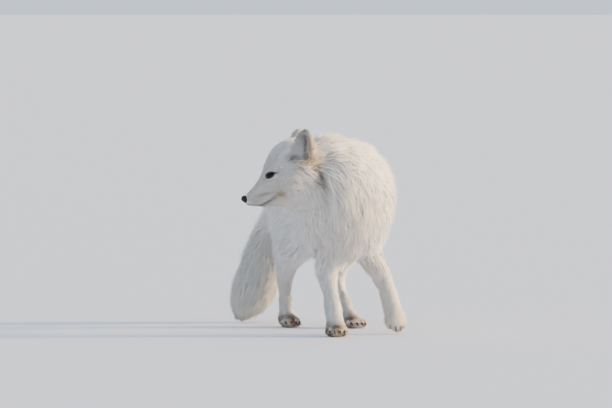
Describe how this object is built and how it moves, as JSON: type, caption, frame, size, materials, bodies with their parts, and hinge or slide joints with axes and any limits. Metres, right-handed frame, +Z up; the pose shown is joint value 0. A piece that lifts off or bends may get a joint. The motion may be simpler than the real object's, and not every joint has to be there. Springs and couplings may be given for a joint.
{
  "type": "arctic fox",
  "caption": "Life-size arctic fox in thick white winter coat, standing mid-step with one forepaw lifted and its head turned to its right.",
  "frame": {"origin": "on the floor, under the middle of the model's box", "axes": "+Z up, -Y the way the body faces, +X the fox's left"},
  "size_m": [0.289, 0.4852, 0.3454],
  "materials": {
    "coat": "deep soft white winter fur, faintly cream",
    "face_coat": "short dense white fur",
    "ear_coat": "short grey-brown and white fur",
    "nose": "moist black leather",
    "eye": "wet dark brown eye",
    "claw": "dark horn"
  },
  "bodies": {
    "root": {"eye_left": "eye", "eye_right": "eye", "nose": "nose", "ear_left": "ear_coat", "ear_right": "ear_coat", "claw_fore_right_1": "claw", "claw_fore_right_2": "claw", "claw_fore_right_3": "claw", "claw_fore_right_4": "claw", "claw_fore_left_1": "claw", "claw_fore_left_2": "claw", "claw_fore_left_3": "claw", "claw_fore_left_4": "claw", "claw_hind_right_1": "claw", "claw_hind_right_2": "claw", "claw_hind_right_3": "claw", "claw_hind_right_4": "claw", "claw_hind_left_1": "claw", "claw_hind_left_2": "claw", "claw_hind_left_3": "claw", "claw_hind_left_4": "claw", "forepaw_right": "coat", "foreleg_right": "coat", "forepaw_left": "coat", "foreleg_left": "coat", "hindpaw_right": "coat", "hindfoot_right": "coat", "hindleg_right": "coat", "hindpaw_left": "coat", "hindfoot_left": "coat", "hindleg_left": "coat", "tail_tip": "coat", "tail_middle": "coat", "tail_base": "coat", "lower_jaw": "face_coat", "head": "face_coat", "neck": "coat", "rump": "coat", "loin": "coat", "chest": "coat"}
  },
  "joints": []
}
